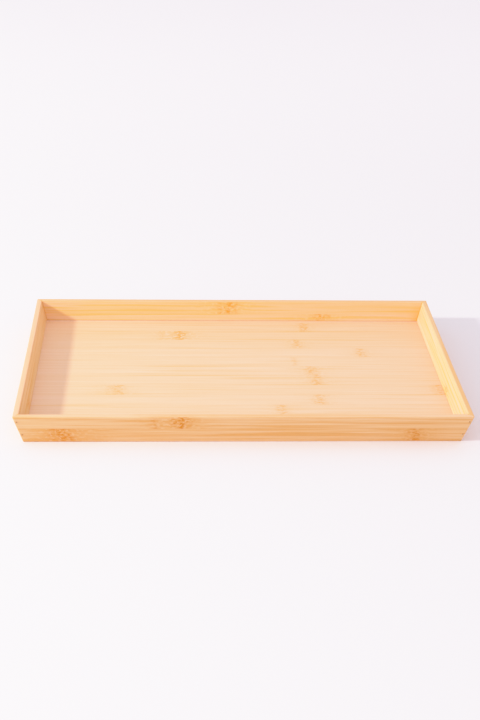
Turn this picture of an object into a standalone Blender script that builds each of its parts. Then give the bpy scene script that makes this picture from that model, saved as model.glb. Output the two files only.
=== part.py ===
"""A shallow rectangular serving tray in bamboo: four flared boards mitred round a floor panel.

Metres, +Z up. The origin is the centre of the tray's footprint, on the surface that it
stands on, and the long side runs along X. Each wall board leans outwards, so that its foot
sits in from its rim. The floor panel is held in a groove that runs round the inside, and
each corner is pinned by brads driven through the long walls into the ends of the side walls.
"""

import math

import bmesh
import bpy
from mathutils import Matrix, Vector

# The tray as a whole
RIM_LENGTH = 0.400  # outside the rim, along X
RIM_DEPTH = 0.242  # outside the rim, along Y
HEIGHT = 0.029
FLARE = 0.0075  # how far the foot of a wall sits in from its rim
WALL = 0.005  # wall thickness, measured level
EASED_EDGE = 0.0006  # chamfer along the sanded edges
GAP = 0.0003  # room between pieces that touch

# The floor panel and its groove
FLOOR_TOP = 0.0096
FLOOR_THICKNESS = 0.004
GROOVE_DEPTH = 0.0015  # below the wall's inner face, at the floor's top

# The brads
BRAD_LENGTH = 0.016
BRAD_SHANK_RADIUS = 0.0005
BRAD_HEAD_RADIUS = 0.0007
BRAD_HEAD_THICKNESS = 0.0005
BRAD_POINT_LENGTH = 0.0012
BRAD_POINT_RADIUS = 0.0001
BRAD_RECESS = 0.0004  # how deep the head is sunk below the board's face
BRAD_SETBACK = 0.0022  # from the side wall's outer face to the brad's axis
BRAD_HEIGHTS = {"lower": 0.0084, "upper": 0.0230}
BRAD_CLEARANCE = 0.0002  # round the brad and past its point
BRAD_SIDES = 16

BAMBOO = (0.83, 0.53, 0.26, 1.0)
PALE_BAMBOO = (0.93, 0.66, 0.40, 1.0)
STEEL = (0.42, 0.33, 0.26, 1.0)


def clear_scene():
    for item in list(bpy.data.objects):
        bpy.data.objects.remove(item, do_unlink=True)


def make_material(name, colour, roughness, metallic):
    material = bpy.data.materials.new(name)
    material.use_nodes = True
    shader = material.node_tree.nodes["Principled BSDF"]
    shader.inputs["Base Color"].default_value = colour
    shader.inputs["Roughness"].default_value = roughness
    shader.inputs["Metallic"].default_value = metallic
    return material


def add_object(name, bm, material=None):
    """Links the mesh to the scene as a named object."""
    bmesh.ops.recalc_face_normals(bm, faces=bm.faces)
    mesh = bpy.data.meshes.new(name)
    bm.to_mesh(mesh)
    bm.free()
    if material:
        mesh.materials.append(material)
    made = bpy.data.objects.new(name, mesh)
    bpy.context.scene.collection.objects.link(made)
    return made


def outer_inset(height):
    """How far in from the rim line a wall's outer face is, at a height above the table."""
    return FLARE * (1 - height / HEIGHT)


def inner_inset(height):
    return outer_inset(height) + WALL


def groove_bottom_inset():
    """The groove's bottom is upright, so one inset from the rim line serves all its height."""
    return inner_inset(FLOOR_TOP) - GROOVE_DEPTH


def wall_section():
    """The board's cross-section as (inset from the rim line, height), going round once."""
    groove_low = FLOOR_TOP - FLOOR_THICKNESS - GAP
    groove_high = FLOOR_TOP + GAP
    groove_bottom = groove_bottom_inset()
    return [
        (outer_inset(HEIGHT), HEIGHT),
        (outer_inset(0), 0),
        (inner_inset(0), 0),
        (inner_inset(groove_low), groove_low),
        (groove_bottom, groove_low),
        (groove_bottom, groove_high),
        (inner_inset(groove_high), groove_high),
        (inner_inset(HEIGHT), HEIGHT),
    ]


def make_wall(name, rim_length, distance, turn, material):
    """A board along X whose rim line lies at -Y by distance, then turned about Z.

    Both ends are cut on the upright plane at 45 degrees through the corner, so a point of
    the section that is further in is also further from the end.
    """
    bm = bmesh.new()
    mitre_setback = GAP / 2 * math.sqrt(2)
    section = wall_section()
    ends = []
    for side in (-1, 1):
        ring = []
        for inset, height in section:
            along = side * (rim_length / 2 - inset - mitre_setback)
            ring.append(bm.verts.new((along, inset - distance, height)))
        ends.append(ring)
    for ring in ends:
        bm.faces.new(ring)
    count = len(section)
    for i in range(count):
        j = (i + 1) % count
        bm.faces.new((ends[0][i], ends[0][j], ends[1][j], ends[1][i]))
    eased = [
        edge
        for i in (0, 1, 2, count - 1)
        for edge in ends[0][i].link_edges
        if edge.other_vert(ends[0][i]) is ends[1][i]
    ]
    bmesh.ops.bevel(
        bm, geom=eased, offset=EASED_EDGE, offset_type="WIDTH", segments=2, profile=0.5, affect="EDGES"
    )
    wall = add_object(name, bm, material)
    wall.rotation_euler.z = turn
    return wall


def make_floor_panel(material):
    inset = groove_bottom_inset() + GAP
    bm = bmesh.new()
    bmesh.ops.create_cube(bm, size=1)
    size = Vector((RIM_LENGTH - 2 * inset, RIM_DEPTH - 2 * inset, FLOOR_THICKNESS))
    bmesh.ops.scale(bm, vec=size, verts=bm.verts)
    panel = add_object("floor_panel", bm, material)
    panel.location.z = FLOOR_TOP - FLOOR_THICKNESS / 2
    return panel


def turned(profile):
    """A solid turned about Y from (radius, distance along Y) points, closed on the axis."""
    bm = bmesh.new()
    first = bm.verts.new((0, profile[0][1], 0))
    last = bm.verts.new((0, profile[-1][1], 0))
    rings = []
    for radius, along in profile:
        angles = [2 * math.pi * k / BRAD_SIDES for k in range(BRAD_SIDES)]
        rings.append(
            [bm.verts.new((radius * math.cos(a), along, radius * math.sin(a))) for a in angles]
        )
    for k in range(BRAD_SIDES):
        n = (k + 1) % BRAD_SIDES
        bm.faces.new((first, rings[0][k], rings[0][n]))
        bm.faces.new((last, rings[-1][n], rings[-1][k]))
        for near, far in zip(rings, rings[1:]):
            bm.faces.new((near[k], near[n], far[n], far[k]))
    return bm


def brad_profile():
    return [
        (BRAD_HEAD_RADIUS, 0),
        (BRAD_HEAD_RADIUS, BRAD_HEAD_THICKNESS),
        (BRAD_SHANK_RADIUS, BRAD_HEAD_THICKNESS),
        (BRAD_SHANK_RADIUS, BRAD_LENGTH - BRAD_POINT_LENGTH),
        (BRAD_POINT_RADIUS, BRAD_LENGTH),
    ]


def hole_profile():
    """The brad's own shape with clearance all round, open through the board's outer face."""
    head = BRAD_HEAD_RADIUS + BRAD_CLEARANCE
    shank = BRAD_SHANK_RADIUS + BRAD_CLEARANCE
    shoulder = BRAD_HEAD_THICKNESS + BRAD_CLEARANCE
    return [
        (head, -WALL),
        (head, shoulder),
        (shank, shoulder),
        (shank, BRAD_LENGTH + BRAD_CLEARANCE),
    ]


def brad_place(end, side, height):
    """Where a brad's head is centred, and the half turn that points it in at the back wall."""
    x = side * (RIM_LENGTH / 2 - outer_inset(height) - BRAD_SETBACK)
    y = end * (RIM_DEPTH / 2 - outer_inset(height) - BRAD_RECESS)
    turn = math.pi if end > 0 else 0
    return Matrix.Translation((x, y, height)) @ Matrix.Rotation(turn, 4, "Z")


def make_brad(name, place, material):
    brad = add_object(name, turned(brad_profile()), material)
    brad.matrix_world = place
    brad.data.shade_smooth()
    brad.data.set_sharp_from_angle(angle=math.radians(40))
    return brad


def drill(walls, name, place):
    """Cuts one brad's hole through the long wall and on into the side wall."""
    cutter = add_object(name, turned(hole_profile()))
    cutter.matrix_world = place
    cutter.hide_render = True
    cutter.display_type = "WIRE"
    for wall in walls:
        cut = wall.modifiers.new(name, "BOOLEAN")
        cut.operation = "DIFFERENCE"
        cut.solver = "EXACT"
        cut.object = cutter


def build():
    clear_scene()
    bamboo = make_material("bamboo_board", BAMBOO, 0.5, 0.0)
    pale_bamboo = make_material("bamboo_panel", PALE_BAMBOO, 0.5, 0.0)
    steel = make_material("brad_steel", STEEL, 0.45, 1.0)

    make_floor_panel(pale_bamboo)
    walls = {
        "front": make_wall("front_wall", RIM_LENGTH, RIM_DEPTH / 2, 0, bamboo),
        "back": make_wall("back_wall", RIM_LENGTH, RIM_DEPTH / 2, math.pi, bamboo),
        "left": make_wall("left_wall", RIM_DEPTH, RIM_LENGTH / 2, -math.pi / 2, bamboo),
        "right": make_wall("right_wall", RIM_DEPTH, RIM_LENGTH / 2, math.pi / 2, bamboo),
    }
    for end_name, end in (("front", -1), ("back", 1)):
        for side_name, side in (("left", -1), ("right", 1)):
            for level, height in BRAD_HEIGHTS.items():
                name = f"brad_{end_name}_{side_name}_{level}"
                place = brad_place(end, side, height)
                make_brad(name, place, steel)
                drill((walls[end_name], walls[side_name]), f"hole_for_{name}", place)


build()
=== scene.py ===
"""The looks of the bamboo serving tray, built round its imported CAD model.

Every wall board and the floor panel is rebuilt here with sanded edges, tight mitres and a
laminated bamboo material. The brads keep their CAD mesh, with a softened edge. Metres, +Z up,
in the CAD's frame.
"""

import math
from typing import NamedTuple

import bmesh
import bpy
from mathutils import Matrix, Vector


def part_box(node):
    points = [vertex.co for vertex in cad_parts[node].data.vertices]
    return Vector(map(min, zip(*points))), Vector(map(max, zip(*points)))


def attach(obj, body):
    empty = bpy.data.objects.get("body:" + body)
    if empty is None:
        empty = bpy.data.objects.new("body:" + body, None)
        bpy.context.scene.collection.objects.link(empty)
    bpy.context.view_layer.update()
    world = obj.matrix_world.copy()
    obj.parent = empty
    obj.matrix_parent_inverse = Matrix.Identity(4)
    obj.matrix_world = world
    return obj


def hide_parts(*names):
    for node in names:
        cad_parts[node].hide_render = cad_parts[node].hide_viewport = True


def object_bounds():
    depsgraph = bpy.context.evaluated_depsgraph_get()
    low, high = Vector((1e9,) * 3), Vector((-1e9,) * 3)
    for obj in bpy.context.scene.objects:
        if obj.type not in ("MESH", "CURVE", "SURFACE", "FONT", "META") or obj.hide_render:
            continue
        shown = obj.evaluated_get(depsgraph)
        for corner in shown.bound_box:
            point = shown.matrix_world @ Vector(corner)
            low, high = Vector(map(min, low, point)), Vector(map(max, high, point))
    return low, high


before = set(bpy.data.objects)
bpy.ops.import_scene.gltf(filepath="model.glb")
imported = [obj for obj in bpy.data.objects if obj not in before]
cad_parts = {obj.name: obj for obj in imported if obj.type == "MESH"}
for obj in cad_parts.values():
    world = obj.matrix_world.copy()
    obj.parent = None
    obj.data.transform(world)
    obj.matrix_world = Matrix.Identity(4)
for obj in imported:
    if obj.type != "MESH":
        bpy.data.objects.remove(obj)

# The tray, from the frame
CAD_LOW, CAD_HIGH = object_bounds()
RIM_X = CAD_HIGH.x  # half the rim's length
RIM_Y = CAD_HIGH.y
HEIGHT = CAD_HIGH.z
PANEL_LOW, PANEL_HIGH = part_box("floor_panel")
BRADS = [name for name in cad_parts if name.startswith("brad_")]

# The wall boards' section
FLARE = 0.0075  # how far a wall's foot sits in from its rim
WALL = 0.005  # thickness, measured level
LEAN = math.atan2(FLARE, HEIGHT)
GROOVE_DEPTH = 0.0015
GROOVE_ROOM = 0.00013  # above and below the floor panel
MITRE_SEAM = 0.00006
SIDE_BOW = 0.0004  # how far the side walls' rims are drawn in at mid-length
LONG_BOW = 0.0001

# Radii of the eased edges
RIM_ROUND = 0.0007
FOOT_ROUND = 0.0006
GROOVE_ROUND = 0.0002
CORNER_ROUND = 0.0009
PANEL_ROUND = 0.0003
HEAD_ROUND = 0.00008

# How finely the boards are built
ARC_STEPS = 4
STATIONS = 48  # stretches along a board
SHARP_ANGLE = math.radians(30)  # an edge that turns more than this is shaded sharp
HEAD_SHARP_ANGLE = math.radians(50)  # a brad's edge that turns more than this is softened

# The brads' pits and holes
PIT_RADIUS = 0.0008
PIT_DEPTH = 0.0009
HOLE_RADIUS = 0.00055
HOLE_DEPTH = 0.0161
CUTTER_REACH = 0.003  # how far a cutter stands out from the brad's head
CUTTER_SIDES = 24

# Bamboo strips, glued edge to edge
FLOOR_STRIP = 0.0189
FLOOR_STRIPS = 14
FLOOR_FIRST_SEAM = 0.1241  # the Y at which strip 0 of the floor begins, at the back
WALL_STRIP = 0.0152
WALL_STRIPS = 3
WALL_FIRST_SEAM = 0.0010  # strip 0 of a wall begins this far above the rim

# What dense fibre, a knuckle, a worn edge, painted corner shade and a painted arris highlight do to a
# board's own colour
FIBRE_TINT = (0.92, 0.77, 0.40)
DARK_FIBRE_TINT = (0.90, 0.73, 0.40)
PALE_FIBRE_TINT = (0.95, 0.87, 0.40)
KNUCKLE_TINT = (0.96, 0.62, 0.07)
DARK_KNUCKLE_TINT = (0.85, 0.52, 0.01)
CREAM_TINT = (1.02, 1.10, 1.32)
# painted shade along the floor and in the inner corners, and painted bounce light
CORNER_SHADE_TINT = (0.95, 0.82, 0.28)
SANDED_TINT = (1.0, 1.04, 1.12)
# pale colour of a wall's inner top arris, partly wear and partly a painted highlight
ARRIS_HIGHLIGHT_TINT = (1.08, 1.22, 1.45)
BRIGHTEST = 0.97  # a tinted colour goes no higher

# The grain, as lumps of noise per metre (along it, across it, into the board)
FINE = (24.0, 1400.0, 700.0)
MIDDLING = (10.0, 560.0, 280.0)
BROAD = (6.0, 170.0, 90.0)
STREAKS = (4.5, 390.0, 180.0)
PORES = (120.0, 2400.0, 900.0)
FLECKS = (210.0, 430.0, 160.0)
SPOTS = (260.0, 430.0, 200.0)
FLECKS_START = 3.0
GRAIN_ROUGHNESS = 0.55  # of the noise
FLECK_ROUGHNESS = 0.6
STRIP_APART = 47.0  # how far apart in the noise two strips' grain can lie

# The noise at which a mark begins to show, and at which it is full
STREAK_EDGE = (0.04, 0.13)
PORE_EDGE = (0.13, 0.26)
FLECK_EDGE = (-0.03, 0.10)
SPOT_EDGE = (0.04, 0.13)

# How much dense fibre each kind of mark adds
FINE_SHARE = 0.50
MIDDLING_SHARE = 0.70
BROAD_SHARE = 0.30
STREAK_SHARE = 0.48
STREAK_MEAN = 0.10  # taken off everywhere, so that streaks don't darken the whole board
STRIP_SHARE = 0.16
SEAM_SHARE = 0.16
DARK_SEAM_SHARE = 0.45
HAIRLINE_SHARE = 0.20
PORE_SHARE = 0.10
HALO_SHARE = 0.26

# Bends in the grain: lumps per metre (along, across), and how far each moves it
WAVE = (15.0, 25.0)
WAVE_REACH = 0.0013
SWIRL = (70.0, 120.0)
SWIRL_REACH = 0.0060
WOBBLE = (90.0, 240.0)
WOBBLE_REACH = 0.011  # makes a knuckle's ends ragged

# Knuckles
HALO_LENGTHS = 3.2  # how many times longer a halo is than its core
CORE_FILL = 0.32  # how dark a core is between its flecks
FLECK_FILL = 0.95
SPOT_FILL = 0.70

# Glue lines
SEAM_WIDTH = 0.0017
DARK_SEAM_WIDTH = 0.0015
HAIRLINE_WIDTH = 0.00011
PATCHES = 12.0  # patches of shade per metre along a glue line
PATCH_SHARE = 1.3
PATCH_MEAN = 0.45

# The most that a stepped ramp's colours can stand for
BOARD_REACH = 0.5  # longer than any board
KNUCKLE_LONGEST = 0.02
SEAM_LONGEST = 0.5

# Worn edges, and a wall's inner top arris with its painted highlight: the distances from them at which
# wear and highlight begin to show, and at which they are full
RIM_WEAR = (0.0007, 0.0001)
CORNER_WEAR = (0.0011, 0.0002)
FOOT_WEAR = (0.0009, 0.0001)
# the inner top arris: partly wear, partly a painted highlight where the lamp catches it
ARRIS_DEPTH = (0.0014, 0.0006)
ARRIS_DROP = (0.0012, 0.0004)
RAGGED = 0.0006  # how far the grain moves these distances
SCUFFS = 0.35  # how far the corners and feet are worn
RIM_GRAIN = 0.55  # how much of its grain a sanded rim shows

# Depths into a wall at which a face's painted shade begins to show, and at which it is full: the outer
# face's, and the inner face's along the floor and in the corners
OUTER_FACE = (0.0008, 0.0002)
INNER_FACE = (0.003, 0.004)

# Painted shade along the floor and in a wall's inner corners, and painted bounce light beside a corner
CORNER_SHADE_STRENGTH = 0.7  # how far the painted shade darkens a wall
FLOOR_LINE_WIDTH = 0.0006
FLOOR_LINE_SHARE = 2.0
FLOOR_LINE_MEAN = 0.5
CORNER_LINE_WIDTH = 0.0007
BOUNCE_FULL = HEIGHT / 3  # the painted bounce light is full up to here and gone at the rim

# The lacquer's gloss and the surface's relief
ROUGHNESS = 0.47
FINE_ROUGHNESS = 0.20
CORE_ROUGHNESS = 0.08
PORE_ROUGHNESS = 0.06
SPECULAR = 0.42
COAT = 0.10
COAT_ROUGHNESS = 0.30
RELIEF_DEPTH = 0.00012
RELIEF_STRENGTH = 0.35
MIDDLING_RELIEF = 0.8
PORE_RELIEF = -0.7
FLECK_RELIEF = -0.5
HAIRLINE_RELIEF = -1.2

# The brads' steel. The first three are pairs, for clean and for browned steel
STEEL_COLOURS = ((0.64, 0.33, 0.14, 1.0), (0.50, 0.23, 0.08, 1.0))
STEEL_METALLIC = (0.40, 0.15)
STEEL_ROUGHNESS = (0.38, 0.60)
STEEL_PATCHES = (2500.0, 900.0, 2500.0)  # lumps per metre
STEEL_LINES = (9000.0, 300.0, 9000.0)
LINE_ROUGHNESS = 0.2
BROWN_EDGE = (-0.12, 0.15)
STEEL_RELIEF_DEPTH = 0.00004
STEEL_RELIEF_STRENGTH = 0.4

# The table
TABLE_NEAR = (0.828, 0.769, 0.808, 1.0)
TABLE_FAR = (0.905, 0.835, 0.880, 1.0)
TABLE_PAINTED_LIGHT = (0.2, 1.3)  # the Y from which and to which painted light makes it paler
TABLE_MOTTLE = (3.0, 3.0, 3.0)  # lumps per metre
MOTTLE_REACH = 0.1
TABLE_ROUGHNESS = 0.75
TABLE_SPECULAR = 0.2
TABLE_REACH = 12.0  # from its middle to each side
TABLE_SQUARES = 8
TABLE_GAP = 0.00005  # under the walls' feet

# Light
LAMP_PLACE = Vector((-2.059, -0.605, 1.069))  # to the left of the tray and a little in front
LAMP_POWER = 162.5  # watts
LAMP_RADIUS = 0.090
LAMP_COLOUR = (1.0, 0.985, 0.95)
SKY_COLOUR = (1.0, 1.0, 1.03, 1.0)
SKY_LEVEL = 0.81  # radiance at the horizon
SKY_RISE = 0.14  # how much more there is overhead
SKY_FRONT = 0.24  # how much more there is in front

# Tone
TONE_WHITE = 3.0  # the brightest light that the tone curve still tells apart
TONE_POINTS = 20
TONE_KNEE = 0.8  # above this the curve bends over towards white

# Camera
CAMERA_PLACE = Vector((-0.06754, -1.09090, 0.58619))
CAMERA_DOWN = 27.312  # degrees below level
CAMERA_RIGHT = 3.606  # degrees to the right of +Y
CAMERA_ROLL = 1.748
CAMERA_LENS = 65.0  # mm
CAMERA_SENSOR = 36.0


class Look(NamedTuple):
    """What sets one board's bamboo apart."""

    seed: float
    mean: tuple  # the board's colour on average, linear
    knuckles: list  # of {strip: (place along the board, strength, length)}
    fibre: float = 0.45  # how much dense fibre there is
    more_fibre: dict = {}  # {strip: how much more it has}
    contrast: float = 1.0
    streaky: float = 1.0  # how strong the long streaks are
    fade: float = 0.0  # painted falloff of the lamp's light: how much darker it gets for each metre along
    seams: dict = {}  # {glue line: (place along the board, strength, length)} of dark stretches
    fibre_tint: tuple = FIBRE_TINT
    knuckle_tint: tuple = KNUCKLE_TINT
    rim: tuple = None  # the colour of a wall's sanded top edge
    arris_wear_and_highlight: float = 0.15  # how far a wall's inner top arris is paled, partly by wear and partly by a painted highlight
    pool: tuple = None  # (place along the board, width) of painted bounce light and shade above the floor, deepening the colour beside a corner
    painted_outer_shade: tuple = None  # painted shade on a wall's outer face, which the lamp lights strongly


FLOOR_LOOK = Look(
    seed=5.0,
    mean=(0.858, 0.543, 0.354),
    fibre=0.32,
    more_fibre={2: 0.13, 3: 0.08, 6: 0.04, 7: 0.12},
    streaky=0.5,
    # painted falloff of the lamp's light, darker to the right
    fade=0.06,
    knuckles=[
        {
            1: (0.0708, 0.65, 0.0045),
            2: (-0.0550, 0.90, 0.0060),
            3: (0.0610, 0.55, 0.0045),
            4: (0.1225, 0.48, 0.0052),
            5: (0.0550, 0.30, 0.0020),
            6: (0.0700, 0.50, 0.0060),
            7: (0.0725, 0.52, 0.0064),
            8: (-0.1138, 0.48, 0.0070),
            9: (0.0725, 0.55, 0.0055),
            10: (0.0363, 0.45, 0.0050),
            11: (-0.1300, 0.60, 0.0060),
        },
        {2: (-0.0720, 0.18, 0.0050), 8: (0.1875, 0.50, 0.0070)},
    ],
    seams={
        2: (0.0850, 0.90, 0.075),
        3: (0.0950, 0.80, 0.070),
        4: (0.0, 0.40, 0.060),
        6: (-0.0650, 0.50, 0.050),
        7: (-0.0450, 0.60, 0.100),
    },
)
WALL_LOOKS = {
    "front_wall": Look(
        seed=80.0,
        mean=(0.797, 0.460, 0.199),
        rim=(0.857, 0.499, 0.286),
        contrast=2.5,
        streaky=0.6,
        # painted falloff of the lamp's light, darker to the right
        fade=0.05,
        fibre_tint=DARK_FIBRE_TINT,
        knuckle_tint=DARK_KNUCKLE_TINT,
        knuckles=[
            {0: (-0.0550, 1.0, 0.0070), 1: (-0.1580, 1.0, 0.0105)},
            {0: (-0.0790, 0.40, 0.0040), 1: (0.1500, 0.72, 0.0066)},
        ],
        seams={0: (0.06, 0.6, 0.25), 1: (0.1250, 0.8, 0.075)},
    ),
    "back_wall": Look(
        seed=17.0,
        mean=(0.882, 0.500, 0.231),
        rim=(0.860, 0.485, 0.252),
        contrast=1.6,
        fibre_tint=PALE_FIBRE_TINT,
        knuckles=[{0: (0.0060, 0.85, 0.0090), 1: (-0.0900, 0.95, 0.0080)}],
        # painted bounce light and shade beside the corner with the right wall
        pool=(-0.1910, 0.0065),
    ),
    "left_wall": Look(
        seed=24.0,
        mean=(0.885, 0.541, 0.245),
        rim=(0.916, 0.498, 0.291),
        contrast=1.5,
        knuckles=[{1: (0.070, 0.5, 0.0070)}],
        # painted shade on the outer face, which faces the lamp
        painted_outer_shade=(0.87, 0.84, 0.96),
    ),
    "right_wall": Look(
        seed=31.0,
        mean=(0.970, 0.548, 0.308),
        rim=(0.840, 0.482, 0.238),
        contrast=1.7,
        fibre_tint=PALE_FIBRE_TINT,
        knuckles=[{1: (-0.045, 0.5, 0.0070)}],
        # mostly a painted highlight on the inner top arris, which faces the lamp
        arris_wear_and_highlight=0.6,
    ),
}
WALL_TURNS = {
    "front_wall": 0.0,
    "back_wall": math.pi,
    "left_wall": -math.pi / 2,
    "right_wall": math.pi / 2,
}
LONG_WALLS = ("front_wall", "back_wall")


class Graph:
    """Adds nodes to one tree, so that a material reads as arithmetic."""

    def __init__(self, tree):
        self.tree = tree

    def add(self, kind, inputs=None, **settings):
        node = self.tree.nodes.new(kind)
        for name, value in settings.items():
            setattr(node, name, value)
        for name, value in (inputs or {}).items():
            self.feed(node.inputs[name], value)
        return node

    def feed(self, socket, value):
        if isinstance(value, bpy.types.NodeSocket):
            self.tree.links.new(value, socket)
        else:
            socket.default_value = value

    def math(self, operation, *values, clamp=False):
        node = self.add("ShaderNodeMath", operation=operation, use_clamp=clamp)
        for socket, value in zip(node.inputs, values):
            self.feed(socket, value)
        return node.outputs[0]

    def scaled(self, value, factor, offset=0.0):
        return self.math("MULTIPLY_ADD", value, factor, offset)

    def total(self, first, *rest):
        for value in rest:
            first = self.math("ADD", first, value)
        return first

    def product(self, first, *rest):
        for value in rest:
            first = self.math("MULTIPLY", first, value)
        return first

    def between(self, share, ends):
        """The first end for a share of 0, the second for 1."""
        return self.scaled(share, ends[1] - ends[0], ends[0])

    def bell(self, distance, width):
        """1 at no distance, falling away smoothly over about the width."""
        ratio = self.math("DIVIDE", distance, width)
        return self.math("EXPONENT", self.scaled(self.math("MULTIPLY", ratio, ratio), -1.0))

    def step(self, value, start, end):
        """0 at the start and 1 at the end, and smooth between them."""
        node = self.add("ShaderNodeMapRange", interpolation_type="SMOOTHSTEP")
        self.feed(node.inputs["Value"], value)
        self.feed(node.inputs["From Min"], start)
        self.feed(node.inputs["From Max"], end)
        return node.outputs["Result"]

    def point(self):
        return self.add("ShaderNodeTexCoord").outputs["Object"]

    def parts(self, vector):
        return self.add("ShaderNodeSeparateXYZ", {"Vector": vector}).outputs

    def vector(self, x, y, z):
        return self.add("ShaderNodeCombineXYZ", {"X": x, "Y": y, "Z": z}).outputs[0]

    def noise(self, point, detail=2.0, roughness=0.5):
        """Smooth noise about 0, mostly between -0.5 and 0.5, one lump per unit of the point."""
        inputs = {"Vector": point, "Scale": 1.0, "Detail": detail, "Roughness": roughness}
        node = self.add("ShaderNodeTexNoise", inputs)
        return self.math("SUBTRACT", node.outputs["Fac"], 0.5)

    def mix(self, factor, first, second, blend="MIX"):
        node = self.add("ShaderNodeMix", data_type="RGBA", blend_type=blend)
        self.feed(node.inputs["Factor"], factor)
        self.feed(node.inputs["A"], first)
        self.feed(node.inputs["B"], second)
        return node.outputs["Result"]

    def bump(self, height, strength, depth):
        inputs = {"Height": height, "Strength": strength, "Distance": depth}
        return self.add("ShaderNodeBump", inputs).outputs["Normal"]


def new_material(name):
    material = bpy.data.materials.new(name)
    material.use_nodes = True
    return material


def tinted(colour, tint):
    return [min(c * t, BRIGHTEST) for c, t in zip(colour, tint)] + [1.0]


class Bamboo(Graph):
    """Lacquered laminated bamboo for one board.

    to_board takes a point to (along the grain, across the strips, into the board).
    """

    def __init__(self, name, look, to_board, strip_width, strips):
        self.material = new_material(name)
        super().__init__(self.material.node_tree)
        self.look = look
        self.strip_width = strip_width
        self.strips = strips
        self.height = self.parts(self.point())[2]
        mapping = self.add("ShaderNodeMapping", {"Vector": self.point()})
        mapping.inputs["Location"].default_value = to_board.translation
        mapping.inputs["Rotation"].default_value = to_board.to_euler()
        self.along, self.across, self.into = self.parts(mapping.outputs[0])
        self.lane = self.scaled(self.across, 1 / strip_width)
        self.strip = self.math("FLOOR", self.lane)
        chance_at = {"W": self.scaled(self.strip, 1.0, look.seed)}
        chance = self.add("ShaderNodeTexWhiteNoise", chance_at, noise_dimensions="1D")
        self.own = chance.outputs["Value"]
        self.own_start = self.scaled(self.own, STRIP_APART, look.seed)
        self.mark_knuckles()
        self.bend_grain()
        self.fine = self.fibres(FINE)
        self.middling = self.fibres(MIDDLING)
        self.pores = self.step(self.fibres(PORES, detail=1.0), *PORE_EDGE)
        self.mark_flecks()
        self.mark_seams()

    def facts_at(self, number, facts, count, longest):
        """(place along the board, strength, length) at a strip or seam, out of so many.

        They are read from a stepped ramp: a stop's red holds the place, green the strength and
        blue the length.
        """
        ramp = self.add("ShaderNodeValToRGB", {"Fac": self.scaled(number, 1 / count, 0.5 / count)})
        ramp.color_ramp.interpolation = "CONSTANT"
        stops = ramp.color_ramp.elements
        for k in range(count):
            stop = stops[0] if k == 0 else stops.new(k / count)
            place, strength, length = facts.get(k, (0.0, 0.0, longest))
            stop.color = (place / BOARD_REACH + 0.5, strength, length / longest, 1.0)
        stops.remove(stops[-1])
        colour = {"Color": ramp.outputs["Color"]}
        red, green, blue = self.add("ShaderNodeSeparateColor", colour).outputs
        place = self.scaled(red, BOARD_REACH, -BOARD_REACH / 2)
        return place, green, self.scaled(blue, longest)

    def surface_noise(self, rates, detail=2.0):
        x = self.scaled(self.along, rates[0])
        y = self.scaled(self.across, rates[1])
        return self.noise(self.vector(x, y, self.own_start), detail)

    def mark_knuckles(self):
        """Each knuckle is a core of flecks and a wide halo in which the fibres swirl."""
        wobble = self.surface_noise(WOBBLE)
        self.core = 0.0
        self.halo = 0.0
        for facts in self.look.knuckles:
            place, strength, length = self.facts_at(self.strip, facts, self.strips, KNUCKLE_LONGEST)
            from_place = self.math("SUBTRACT", self.along, place)
            away = self.total(from_place, self.scaled(wobble, WOBBLE_REACH))
            core = self.product(self.bell(away, length), strength)
            halo = self.product(self.bell(away, self.scaled(length, HALO_LENGTHS)), strength)
            self.core = self.math("ADD", self.core, core)
            self.halo = self.math("ADD", self.halo, halo)

    def bend_grain(self):
        swirl = self.surface_noise(SWIRL, detail=1.0)
        wave = self.surface_noise(WAVE, detail=1.0)
        swirled = self.product(swirl, self.halo, SWIRL_REACH)
        self.fibre_across = self.total(self.across, swirled, self.scaled(wave, WAVE_REACH))

    def fibres(self, rates, detail=2.0):
        x = self.math("ADD", self.scaled(self.along, rates[0]), self.own_start)
        y = self.scaled(self.fibre_across, rates[1])
        z = self.scaled(self.into, rates[2])
        return self.noise(self.vector(x, y, z), detail, GRAIN_ROUGHNESS)

    def mark_flecks(self):
        x = self.scaled(self.along, FLECKS[0], FLECKS_START)
        y = self.scaled(self.fibre_across, FLECKS[1])
        z = self.scaled(self.into, FLECKS[2])
        noise = self.noise(self.vector(x, y, z), roughness=FLECK_ROUGHNESS)
        self.flecks = self.step(noise, *FLECK_EDGE)

    def mark_seams(self):
        """Each glue line is a hairline with patchy shade round it and a darker stretch."""
        in_lane = self.math("SUBTRACT", self.lane, self.strip)
        nearer = self.math("MINIMUM", in_lane, self.math("SUBTRACT", 1.0, in_lane))
        to_seam = self.product(nearer, self.strip_width)
        patch_at = self.vector(self.scaled(self.along, PATCHES), self.lane, self.look.seed)
        self.patchy = self.noise(patch_at, detail=1.0)
        shade = self.scaled(self.patchy, PATCH_SHARE, PATCH_MEAN)
        self.seam_shade = self.product(self.bell(to_seam, SEAM_WIDTH), shade)
        self.hairline = self.bell(to_seam, HAIRLINE_WIDTH)
        seam = self.math("FLOOR", self.math("ADD", self.lane, 0.5))
        facts = self.look.seams
        place, strength, length = self.facts_at(seam, facts, self.strips + 1, SEAM_LONGEST)
        stretch = self.bell(self.math("SUBTRACT", self.along, place), length)
        self.dark_seam = self.product(stretch, self.bell(to_seam, DARK_SEAM_WIDTH), strength)

    def own_fibre(self):
        facts = {strip: (0.0, more, SEAM_LONGEST) for strip, more in self.look.more_fibre.items()}
        return self.facts_at(self.strip, facts, self.strips, SEAM_LONGEST)[1]

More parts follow.
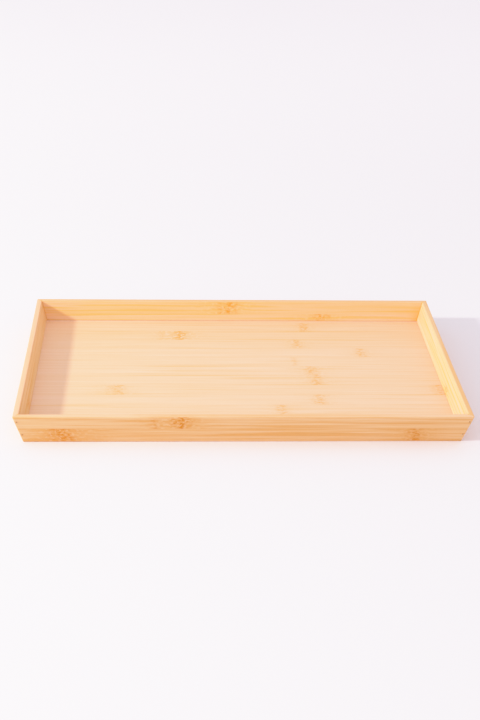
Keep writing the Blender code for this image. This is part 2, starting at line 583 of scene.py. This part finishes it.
    def dense_fibre(self):
        """How much dense, darker fibre shows, from 0 to 1."""
        contrast = self.look.contrast
        streak_contrast = contrast * self.look.streaky
        strip_contrast = STRIP_SHARE * contrast
        broad = self.fibres(BROAD, detail=1.0)
        streaks = self.step(self.fibres(STREAKS), *STREAK_EDGE)
        amount = self.total(
            self.scaled(self.fine, FINE_SHARE * contrast, self.look.fibre),
            self.scaled(self.middling, MIDDLING_SHARE * contrast),
            self.scaled(broad, BROAD_SHARE * contrast),
            self.scaled(streaks, STREAK_SHARE * streak_contrast, -STREAK_MEAN * streak_contrast),
            self.scaled(self.dark_seam, DARK_SEAM_SHARE),
            self.own_fibre(),
            self.scaled(self.own, strip_contrast, -strip_contrast / 2),
            self.scaled(self.seam_shade, SEAM_SHARE),
            self.scaled(self.hairline, HAIRLINE_SHARE),
            self.scaled(self.pores, PORE_SHARE),
            self.scaled(self.halo, HALO_SHARE * contrast),
        )
        return self.math("MULTIPLY", amount, 1.0, clamp=True)

    def wood(self, amount):
        """The board's colour before any wear: its fibres, and its knuckles' flecks and pale spots."""
        look = self.look
        pale = [c / (1 - look.fibre * (1 - t)) for c, t in zip(look.mean, look.fibre_tint)]
        colour = self.mix(amount, tinted(pale, (1, 1, 1)), tinted(pale, look.fibre_tint))
        fill = self.scaled(self.flecks, FLECK_FILL, CORE_FILL)
        dark_fleck = self.math("MULTIPLY", self.core, fill, clamp=True)
        spots = self.step(self.fibres(SPOTS, detail=1.0), *SPOT_EDGE)
        light_spot = self.math("MULTIPLY", self.product(self.halo, spots), SPOT_FILL, clamp=True)
        colour = self.mix(dark_fleck, colour, tinted(look.mean, look.knuckle_tint))
        return self.mix(light_spot, colour, tinted(look.mean, CREAM_TINT))

    def wear_and_arris_highlight(self, colour, amount, to_corner):
        """A wall's sanded rim, its corners and foot scuffed by wear, and its inner top arris, paled
        partly by wear and partly by a painted highlight.
        """
        rim = self.look.rim
        ragged = self.scaled(self.fine, RAGGED)
        ragged_height = self.total(self.height, ragged)
        on_rim = self.step(ragged_height, HEIGHT - RIM_WEAR[0], HEIGHT - RIM_WEAR[1])
        on_corner = self.step(self.total(to_corner, ragged), *CORNER_WEAR)
        on_foot = self.step(ragged_height, *FOOT_WEAR)
        scuffed = self.scaled(self.math("MAXIMUM", on_corner, on_foot), SCUFFS)
        grain = self.scaled(amount, RIM_GRAIN)
        grained = self.mix(grain, tinted(rim, SANDED_TINT), tinted(rim, FIBRE_TINT))
        colour = self.mix(self.math("MAXIMUM", on_rim, scuffed), colour, grained)
        # the inner top arris, paled partly by wear and partly by a painted highlight
        inward = self.step(self.into, WALL - ARRIS_DEPTH[0], WALL - ARRIS_DEPTH[1])
        upward = self.step(self.height, HEIGHT - ARRIS_DROP[0], HEIGHT - ARRIS_DROP[1])
        arris = self.scaled(self.product(inward, upward), self.look.arris_wear_and_highlight)
        return self.mix(arris, colour, tinted(rim, ARRIS_HIGHLIGHT_TINT))

    def painted_corner_shade(self, colour, to_corner):
        """Painted shade on a wall's inner face along the floor and in the corners, where the corner
        line is partly the mitre's dark joint, and painted bounce light beside a corner.
        """
        # painted contact shade where the wall meets the floor
        above_floor = self.scaled(self.height, 1.0, -PANEL_HIGH.z)
        shade = self.scaled(self.patchy, FLOOR_LINE_SHARE, FLOOR_LINE_MEAN)
        floor_contact_shade = self.math("MULTIPLY", self.bell(above_floor, FLOOR_LINE_WIDTH), shade)
        # a dark line in the inner corner, partly painted shade and partly the mitre's dark joint
        corner_line = self.bell(self.scaled(to_corner, 1.0, -WALL), CORNER_LINE_WIDTH)
        corner_shade = self.math("ADD", floor_contact_shade, corner_line)
        if self.look.pool:
            # painted bounce light and shade beside a corner
            place, width = self.look.pool
            beside = self.bell(self.scaled(self.along, 1.0, -place), width)
            bounce_light = self.math("MULTIPLY", beside, self.step(self.height, HEIGHT, BOUNCE_FULL))
            corner_shade = self.math("ADD", corner_shade, bounce_light)
        corner_shade = self.product(corner_shade, self.step(self.into, *INNER_FACE), CORNER_SHADE_STRENGTH)
        corner_shade = self.math("MINIMUM", corner_shade, 1.0)
        return self.mix(corner_shade, colour, tinted(self.look.mean, CORNER_SHADE_TINT))

    def finish(self, half_length=0.0):
        """Feeds the shader. A wall's half_length is half its length at the rim."""
        amount = self.dense_fibre()
        colour = self.wood(amount)
        if self.look.rim:
            edge = self.scaled(self.height, FLARE / HEIGHT, half_length - FLARE)
            to_corner = self.math("SUBTRACT", edge, self.math("ABSOLUTE", self.along))
            colour = self.painted_corner_shade(self.wear_and_arris_highlight(colour, amount, to_corner), to_corner)
        # painted shade on the outer face
        if self.look.painted_outer_shade:
            on_outer = self.step(self.into, *OUTER_FACE)
            colour = self.mix(on_outer, colour, (*self.look.painted_outer_shade, 1.0), "MULTIPLY")
        # painted falloff of the lamp's light along the board
        level = self.scaled(self.along, -self.look.fade, 1.0)
        with_painted_falloff = self.add("ShaderNodeVectorMath", {"Vector": colour, "Scale": level}, operation="SCALE")
        roughness = self.total(
            self.scaled(self.fine, FINE_ROUGHNESS, ROUGHNESS),
            self.scaled(self.core, CORE_ROUGHNESS),
            self.scaled(self.pores, PORE_ROUGHNESS),
        )
        relief = self.total(
            self.fine,
            self.scaled(self.middling, MIDDLING_RELIEF),
            self.scaled(self.pores, PORE_RELIEF),
            self.product(self.flecks, self.core, FLECK_RELIEF),
            self.scaled(self.hairline, HAIRLINE_RELIEF),
        )
        shader = self.tree.nodes["Principled BSDF"]
        self.feed(shader.inputs["Base Color"], with_painted_falloff.outputs[0])
        self.feed(shader.inputs["Roughness"], roughness)
        self.feed(shader.inputs["Normal"], self.bump(relief, RELIEF_STRENGTH, RELIEF_DEPTH))
        shader.inputs["Specular IOR Level"].default_value = SPECULAR
        shader.inputs["Coat Weight"].default_value = COAT
        shader.inputs["Coat Roughness"].default_value = COAT_ROUGHNESS
        return self.material


def brad_steel():
    """Dull drawn steel, browned in patches by lacquer and age."""
    material = new_material("brad_steel")
    g = Graph(material.node_tree)
    axes = g.parts(g.point())
    patches_at = [g.scaled(axis, rate) for axis, rate in zip(axes, STEEL_PATCHES)]
    lines_at = [g.scaled(axis, rate) for axis, rate in zip(axes, STEEL_LINES)]
    patches = g.noise(g.vector(*patches_at), detail=3.0, roughness=0.6)
    lines = g.noise(g.vector(*lines_at))
    brown = g.step(patches, *BROWN_EDGE)
    roughness = g.total(g.between(brown, STEEL_ROUGHNESS), g.scaled(lines, LINE_ROUGHNESS))
    relief = g.total(patches, lines)
    shader = material.node_tree.nodes["Principled BSDF"]
    g.feed(shader.inputs["Base Color"], g.mix(brown, *STEEL_COLOURS))
    g.feed(shader.inputs["Metallic"], g.between(brown, STEEL_METALLIC))
    g.feed(shader.inputs["Roughness"], roughness)
    g.feed(shader.inputs["Normal"], g.bump(relief, STEEL_RELIEF_STRENGTH, STEEL_RELIEF_DEPTH))
    return material


def pale_table():
    """A matt table, a little mottled, with painted light making it paler towards the back."""
    material = new_material("pale_table")
    g = Graph(material.node_tree)
    point = g.point()
    mapping = g.add("ShaderNodeMapping", {"Vector": point, "Scale": TABLE_MOTTLE})
    mottle = g.noise(mapping.outputs[0], detail=3.0)
    back = g.parts(point)[1]
    # painted light, paler towards the back where the lamp's light falls off
    painted_light = g.step(g.total(back, g.scaled(mottle, MOTTLE_REACH)), *TABLE_PAINTED_LIGHT)
    shader = material.node_tree.nodes["Principled BSDF"]
    g.feed(shader.inputs["Base Color"], g.mix(painted_light, TABLE_NEAR, TABLE_FAR))
    shader.inputs["Roughness"].default_value = TABLE_ROUGHNESS
    shader.inputs["Specular IOR Level"].default_value = TABLE_SPECULAR
    return material


def rounded(corners, radii):
    """For each corner of a closed 2D outline its points: an arc, or itself for a radius of 0."""
    arcs = []
    for i, (corner, radius) in enumerate(zip(corners, radii)):
        here = Vector(corner)
        if radius == 0:
            arcs.append([here])
            continue
        back = (Vector(corners[i - 1]) - here).normalized()
        on = (Vector(corners[(i + 1) % len(corners)]) - here).normalized()
        half = back.angle(on) / 2
        centre = here + (back + on).normalized() * (radius / math.sin(half))
        first = here + back * (radius / math.tan(half)) - centre
        sweep = first.angle_signed(here + on * (radius / math.tan(half)) - centre)
        turns = [Matrix.Rotation(-sweep * k / ARC_STEPS, 2) for k in range(ARC_STEPS + 1)]
        arcs.append([centre + turn @ first for turn in turns])
    return arcs


def outer_inset(height):
    """How far a wall's outer face sits in from the rim line at a height."""
    return FLARE * (1 - height / HEIGHT)


def wall_outline():
    """The board's section as (inset from the rim line, height, whether on the outer face)."""
    low = PANEL_LOW.z - GROOVE_ROOM
    high = PANEL_HIGH.z + GROOVE_ROOM
    bottom = outer_inset(PANEL_HIGH.z) + WALL - GROOVE_DEPTH
    corners = [
        (0, HEIGHT),
        (FLARE, 0),
        (FLARE + WALL, 0),
        (outer_inset(low) + WALL, low),
        (bottom, low),
        (bottom, high),
        (outer_inset(high) + WALL, high),
        (WALL, HEIGHT),
    ]
    radii = [RIM_ROUND, FOOT_ROUND, FOOT_ROUND, GROOVE_ROUND, 0, 0, GROOVE_ROUND, RIM_ROUND]
    arcs = rounded(corners, radii)
    return [(p.x, p.y, number < 2) for number, arc in enumerate(arcs) for p in arc]


def wall_rings(half_length, distance, bow):
    """Rings of points along a board at -Y, from mitre to mitre, round the tray's eased corners."""
    outline = wall_outline()
    reach = half_length - MITRE_SEAM / math.sqrt(2)
    straight = [(2 * k / STATIONS - 1, 0.0) for k in range(STATIONS + 1)]
    arcs = [math.radians(45) * k / ARC_STEPS for k in range(1, ARC_STEPS + 1)]
    places = [(-1, a) for a in reversed(arcs)] + straight + [(1, a) for a in arcs]
    rings = []
    for share, arc in places:
        ring = []
        for inset, height, on_outer in outline:
            along = share * (reach - inset - CORNER_ROUND)
            along += share * CORNER_ROUND * math.sin(arc) * (1 if on_outer else math.sqrt(2))
            drawn_in = bow * (1 - share * share) * height / HEIGHT
            turned_in = CORNER_ROUND * (1 - math.cos(arc)) if on_outer else 0.0
            ring.append(Vector((along, inset + drawn_in + turned_in - distance, height)))
        rings.append(ring)
    return rings


def make_tube(rings):
    """Joins rings of points into a tube that is closed at both ends."""
    bm = bmesh.new()
    rings = [[bm.verts.new(point) for point in ring] for ring in rings]
    count = len(rings[0])
    for near, far in zip(rings, rings[1:]):
        for i in range(count):
            j = (i + 1) % count
            bm.faces.new((near[i], near[j], far[j], far[i]))
    bm.faces.new(rings[0])
    bm.faces.new(rings[-1])
    return bm


def link(name, bm, material=None):
    bmesh.ops.recalc_face_normals(bm, faces=bm.faces)
    mesh = bpy.data.meshes.new(name)
    bm.to_mesh(mesh)
    bm.free()
    if material:
        mesh.materials.append(material)
    piece = bpy.data.objects.new(name, mesh)
    bpy.context.scene.collection.objects.link(piece)
    return piece


def make_wall(name, half_length, distance, turn, bow, material):
    spin = Matrix.Rotation(turn, 3, "Z")
    rings = wall_rings(half_length, distance, bow)
    bm = make_tube([[spin @ point for point in ring] for ring in rings])
    return link(name, bm, material)


def make_panel(material):
    """The floor panel, with its arrises eased."""
    bm = bmesh.new()
    bmesh.ops.create_cube(bm, size=1.0)
    bmesh.ops.scale(bm, vec=PANEL_HIGH - PANEL_LOW, verts=bm.verts)
    bmesh.ops.translate(bm, vec=(PANEL_HIGH + PANEL_LOW) / 2, verts=bm.verts)
    bmesh.ops.bevel(bm, geom=bm.edges[:], offset=PANEL_ROUND, segments=3, profile=0.5, affect="EDGES")
    return link("panel_board", bm, material)


def pit_cutter(brad):
    """A stepped cylinder that cuts a brad's pit and its hole into the boards."""
    low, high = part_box(brad)
    toward = 1 if low.y < 0 else -1  # the way the brad points
    head_y = low.y if toward > 0 else high.y
    centre = Vector(((low.x + high.x) / 2, head_y, (low.z + high.z) / 2))
    profile = [
        (PIT_RADIUS, -CUTTER_REACH),
        (PIT_RADIUS, PIT_DEPTH),
        (HOLE_RADIUS, PIT_DEPTH),
        (HOLE_RADIUS, HOLE_DEPTH),
    ]
    rings = []
    for radius, depth in profile:
        ring = []
        for k in range(CUTTER_SIDES):
            a = 2 * math.pi * k / CUTTER_SIDES
            arm = Vector((radius * math.cos(a), toward * depth, radius * math.sin(a)))
            ring.append(centre + arm)
        rings.append(ring)
    return link("cutter_" + brad, make_tube(rings))


def drill(piece, cutters):
    """Cuts the pits into a wall and keeps the result as its mesh."""
    for cutter in cutters:
        cut = piece.modifiers.new(cutter.name, "BOOLEAN")
        cut.operation = "DIFFERENCE"
        cut.solver = "EXACT"
        cut.object = cutter
    graph = bpy.context.evaluated_depsgraph_get()
    drilled = bpy.data.meshes.new_from_object(piece.evaluated_get(graph))
    piece.modifiers.clear()
    piece.data = drilled


def finish_shading(piece):
    piece.data.shade_smooth()
    piece.data.set_sharp_from_angle(angle=SHARP_ANGLE)
    weighted = piece.modifiers.new("even_faces", "WEIGHTED_NORMAL")
    weighted.keep_sharp = True


def wall_space(turn, distance):
    """Takes a point to a wall's own space: along it, down its outer face, and into it."""
    upright = Matrix.Rotation(-turn, 4, "Z")
    to_rim = Matrix.Translation((0, distance, -HEIGHT))
    from_rim = Matrix.Rotation(math.pi / 2 - LEAN, 4, "X") @ to_rim @ upright
    return Matrix.Translation((0, WALL_FIRST_SEAM, 0)) @ from_rim


def floor_space():
    return Matrix.Translation((0, FLOOR_FIRST_SEAM, PANEL_HIGH.z)) @ Matrix.Rotation(math.pi, 4, "X")


def build_walls():
    cutters = {name: pit_cutter(name) for name in BRADS}
    for node, look in WALL_LOOKS.items():
        turn = WALL_TURNS[node]
        long_wall = node in LONG_WALLS
        half, distance = (RIM_X, RIM_Y) if long_wall else (RIM_Y, RIM_X)
        bow = LONG_BOW if long_wall else SIDE_BOW
        bamboo = Bamboo(node + "_bamboo", look, wall_space(turn, distance), WALL_STRIP, WALL_STRIPS)
        side = node.replace("_wall", "")
        piece = make_wall(side + "_board", half, distance, turn, bow, bamboo.finish(half))
        drill(piece, [cutter for name, cutter in cutters.items() if side in name])
        finish_shading(piece)
        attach(piece, "root")
        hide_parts(node)
    for cutter in cutters.values():
        bpy.data.objects.remove(cutter)


def build_panel():
    bamboo = Bamboo("floor_bamboo", FLOOR_LOOK, floor_space(), FLOOR_STRIP, FLOOR_STRIPS)
    panel = make_panel(bamboo.finish())
    finish_shading(panel)
    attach(panel, "root")
    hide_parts("floor_panel")


def dress_brads():
    """Gives the CAD's brads their steel and a softened edge."""
    steel = brad_steel()
    for name in BRADS:
        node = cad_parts[name]
        node.data.materials.clear()
        node.data.materials.append(steel)
        rounding = node.modifiers.new("rounded_head", "BEVEL")
        rounding.width = HEAD_ROUND
        rounding.segments = 2
        rounding.limit_method = "ANGLE"
        rounding.angle_limit = HEAD_SHARP_ANGLE


def make_stage():
    bm = bmesh.new()
    bmesh.ops.create_grid(bm, x_segments=TABLE_SQUARES, y_segments=TABLE_SQUARES, size=TABLE_REACH)
    bmesh.ops.translate(bm, vec=(0, 0, CAD_LOW.z - TABLE_GAP), verts=bm.verts)
    table = link("pale_table", bm, pale_table())


def make_light():
    light = bpy.data.lights.new("lamp", "POINT")
    light.energy = LAMP_POWER
    light.color = LAMP_COLOUR
    light.shadow_soft_size = LAMP_RADIUS
    lamp = bpy.data.objects.new("lamp", light)
    lamp.location = LAMP_PLACE
    bpy.context.scene.collection.objects.link(lamp)
    world = bpy.data.worlds.new("studio")
    world.use_nodes = True
    g = Graph(world.node_tree)
    sky = world.node_tree.nodes["Background"]
    _, y, z = g.parts(g.add("ShaderNodeTexCoord").outputs["Generated"])
    overhead = g.scaled(g.math("MAXIMUM", z, 0.0), SKY_RISE, SKY_LEVEL)
    in_front = g.scaled(g.math("MINIMUM", y, 0.0), -SKY_FRONT)
    g.feed(sky.inputs["Strength"], g.total(overhead, in_front))
    sky.inputs["Color"].default_value = SKY_COLOUR
    bpy.context.scene.world = world


def shown(light):
    """How bright a light shows: as it is up to the knee, then on a soft shoulder as a camera has."""
    room = 1 - TONE_KNEE
    if light < TONE_KNEE:
        return light
    return TONE_KNEE + room * (1 - math.exp((TONE_KNEE - light) / room))


def set_tone():
    view = bpy.context.scene.view_settings
    view.view_transform = "Standard"
    view.use_curve_mapping = True
    view.curve_mapping.white_level = (TONE_WHITE, TONE_WHITE, TONE_WHITE)
    curve = view.curve_mapping.curves[3]
    for k in range(TONE_POINTS):
        light = TONE_KNEE + (TONE_WHITE - TONE_KNEE) * (k / TONE_POINTS) ** 2
        curve.points.new(light / TONE_WHITE, shown(light))
    curve.points[-1].location = (1.0, shown(TONE_WHITE))
    view.curve_mapping.update()


def make_camera():
    data = bpy.data.cameras.new("camera")
    data.sensor_width = CAMERA_SENSOR
    data.lens = CAMERA_LENS
    camera = bpy.data.objects.new("camera", data)
    heading = Matrix.Rotation(-math.radians(CAMERA_RIGHT), 4, "Z")
    pitch = Matrix.Rotation(math.radians(90 - CAMERA_DOWN), 4, "X")
    roll = Matrix.Rotation(math.radians(CAMERA_ROLL), 4, "Z")
    camera.matrix_world = Matrix.Translation(CAMERA_PLACE) @ heading @ pitch @ roll
    bpy.context.scene.collection.objects.link(camera)
    bpy.context.scene.camera = camera


make_camera()
make_light()
make_stage()
build_walls()
build_panel()
dress_brads()
set_tone()
